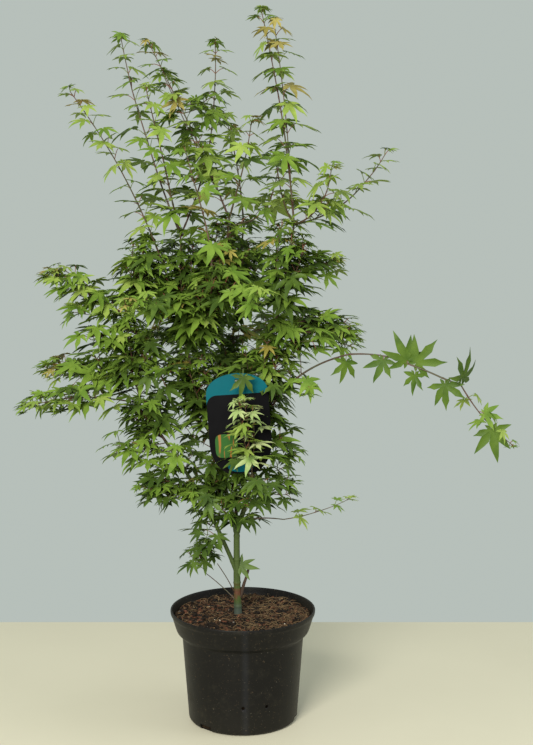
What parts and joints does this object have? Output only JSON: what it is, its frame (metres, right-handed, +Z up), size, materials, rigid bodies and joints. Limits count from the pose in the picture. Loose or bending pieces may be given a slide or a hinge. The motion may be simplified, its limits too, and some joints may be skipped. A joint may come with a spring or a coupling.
{
  "type": "potted japanese maple",
  "caption": "Young Japanese maple in a black nursery pot: a low-forking green trunk, upright leafy shoots, one long arching side arm and a blank hang tag.",
  "frame": {"origin": "centre of the pot's flat underside", "axes": "+Z up along the pot's axis, +X towards the long arching arm, -Y the side that the hang tag faces"},
  "size_m": [0.7425, 0.3934, 1.0815],
  "materials": {
    "pot_plastic": "satin",
    "soil": "matte",
    "tag_card": "gloss",
    "bark": "satin",
    "dead_wood": "matte",
    "foliage": "matte"
  },
  "bodies": {
    "root": {"pot": "pot_plastic", "soil": "soil", "hang_tag": "tag_card", "trunk": "bark", "left_bough": "bark", "left_fork": "bark", "right_fork": "bark", "back_bough": "bark", "front_bough": "bark", "right_low_twig": "bark", "right_arm": "bark", "right_arm_fall": "bark", "sucker_long": "bark", "sucker_short": "bark", "dead_snag": "dead_wood", "left_low_mass": "foliage", "left_mid_mass": "foliage", "left_top_mass": "foliage", "centre_left_mass": "foliage", "centre_right_mass": "foliage", "upper_left_mass": "foliage", "upper_centre_mass": "foliage", "upper_right_mass": "foliage", "back_low_mass": "foliage", "back_high_mass": "foliage", "front_low_mass": "foliage", "front_high_mass": "foliage", "left_foot_spray": "foliage", "left_inner_spray": "foliage", "right_foot_spray": "foliage", "right_low_spray": "foliage", "right_side_spray": "foliage", "right_upper_spray": "foliage", "left_high_spray": "foliage", "left_long_spray": "foliage", "left_tip_spray": "foliage", "back_left_spray": "foliage", "back_right_spray": "foliage", "back_far_spray": "foliage", "front_left_spray": "foliage", "front_right_spray": "foliage", "shoot_far_left": "foliage", "shoot_left": "foliage", "shoot_left_inner": "foliage", "shoot_leaning": "foliage", "shoot_middle": "foliage", "shoot_mid_short": "foliage", "shoot_tall": "foliage", "shoot_right_inner": "foliage", "shoot_right": "foliage", "shoot_right_front": "foliage", "shoot_back": "foliage", "shoot_front": "foliage", "shoot_back_right": "foliage", "low_right_leaves": "foliage", "sucker_leaves": "foliage", "arm_inner_leaves": "foliage", "arm_middle_leaves": "foliage", "arm_tip_leaves": "foliage"}
  },
  "joints": []
}
